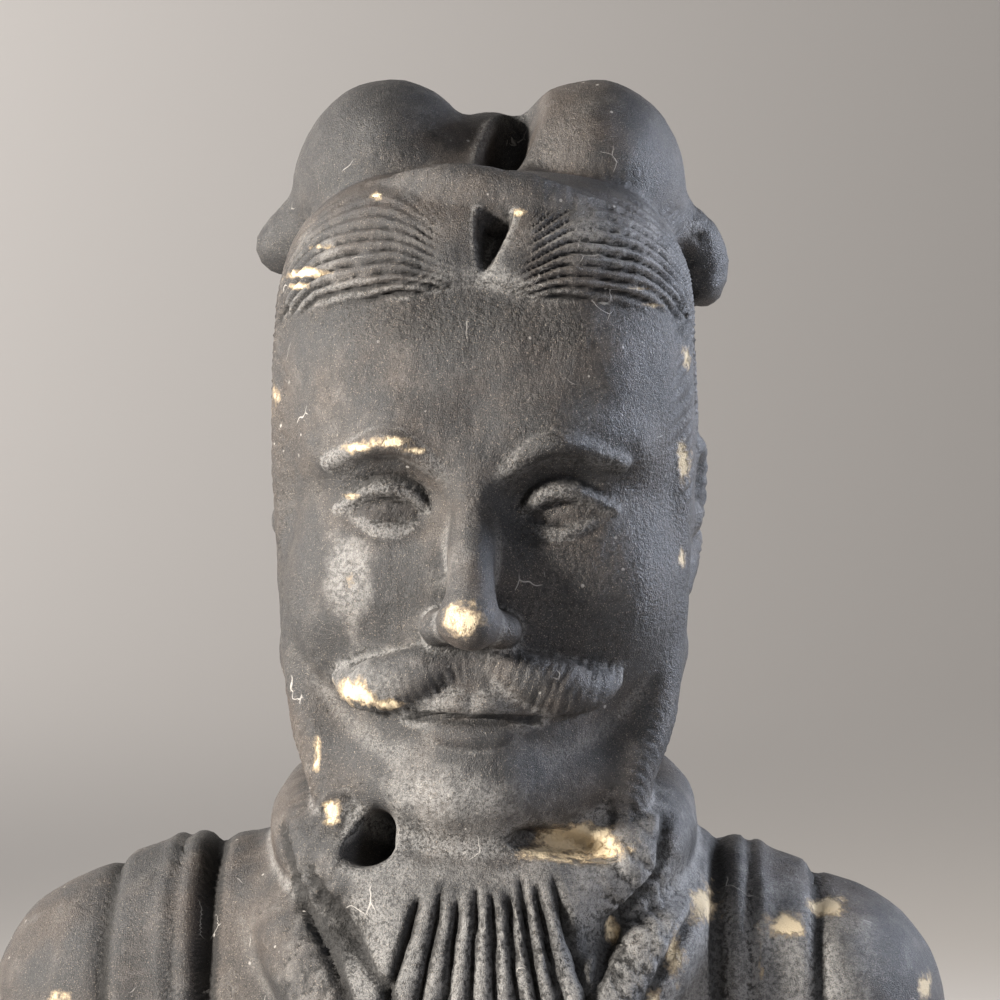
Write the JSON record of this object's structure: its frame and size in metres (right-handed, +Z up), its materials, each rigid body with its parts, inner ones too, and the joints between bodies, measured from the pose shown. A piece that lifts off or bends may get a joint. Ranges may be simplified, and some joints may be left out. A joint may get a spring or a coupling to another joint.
{
  "type": "statue bust",
  "caption": "Small black-coated clay bust of an armoured warrior with two-lobed cap, combed hair, moustache and pleated scarf, cut flat below to stand on.",
  "frame": {"origin": "middle of the flat underside", "axes": "+Z up, the face looks along -Y, +X to the right of someone who looks at the face"},
  "size_m": [0.0385, 0.0204, 0.0446],
  "materials": {
    "black_coated_clay": "matt black slip coat, rubbed through to pale clay on raised edges"
  },
  "bodies": {
    "root": {"warrior_bust": "black_coated_clay"}
  },
  "joints": []
}
